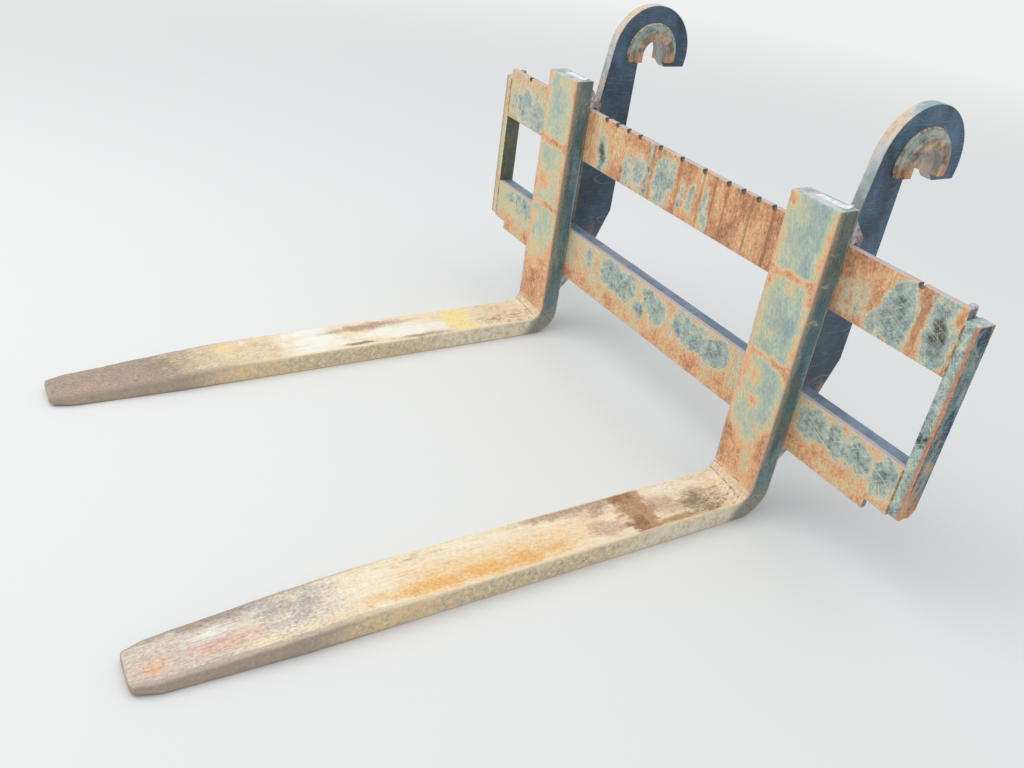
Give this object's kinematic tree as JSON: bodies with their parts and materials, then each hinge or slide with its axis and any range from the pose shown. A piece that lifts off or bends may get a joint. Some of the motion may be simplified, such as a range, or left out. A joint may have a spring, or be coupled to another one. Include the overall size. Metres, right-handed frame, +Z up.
{
  "type": "pallet fork attachment",
  "caption": "Fork carriage with two rails and two sliding fork arms, hung on a loader by two hooked hanger plates with lock eyes.",
  "frame": {"origin": "on the floor, in the middle of the whole length and width", "axes": "+Z up, +X to the right seen from the fork tips, fork tips towards -Y"},
  "size_m": [1.516, 1.554, 0.836],
  "materials": {
    "rail_steel": "worn paint over rust",
    "fork_steel": "paint worn to bare and rusted steel",
    "hanger_paint": "scratched satin paint",
    "bare_steel": "dull bare steel"
  },
  "bodies": {
    "carriage": {"upper_rail": "rail_steel", "lower_rail": "rail_steel", "end_bar_left": "rail_steel", "end_stop_left": "bare_steel", "hanger_left": "hanger_paint", "hook_collar_left_inner": "hanger_paint", "hook_collar_left_outer": "hanger_paint", "lock_bush_left": "bare_steel", "end_bar_right": "rail_steel", "end_stop_right": "bare_steel", "hanger_right": "hanger_paint", "hook_collar_right_inner": "hanger_paint", "hook_collar_right_outer": "hanger_paint", "lock_bush_right": "bare_steel"},
    "fork_left": {"fork_arm_left": "fork_steel", "top_hook_left": "fork_steel", "bottom_hook_left": "fork_steel", "latch_pin_left": "bare_steel"},
    "fork_right": {"fork_arm_right": "fork_steel", "top_hook_right": "fork_steel", "bottom_hook_right": "fork_steel", "latch_pin_right": "bare_steel"}
  },
  "joints": [
    {"name": "fork_left_slide", "type": "slide", "parent": "carriage", "child": "fork_left", "axis": [-1, 0, 0], "range_m": [-0.351, 0.23]},
    {"name": "fork_right_slide", "type": "slide", "parent": "carriage", "child": "fork_right", "axis": [1, 0, 0], "range_m": [-0.351, 0.23]}
  ]
}
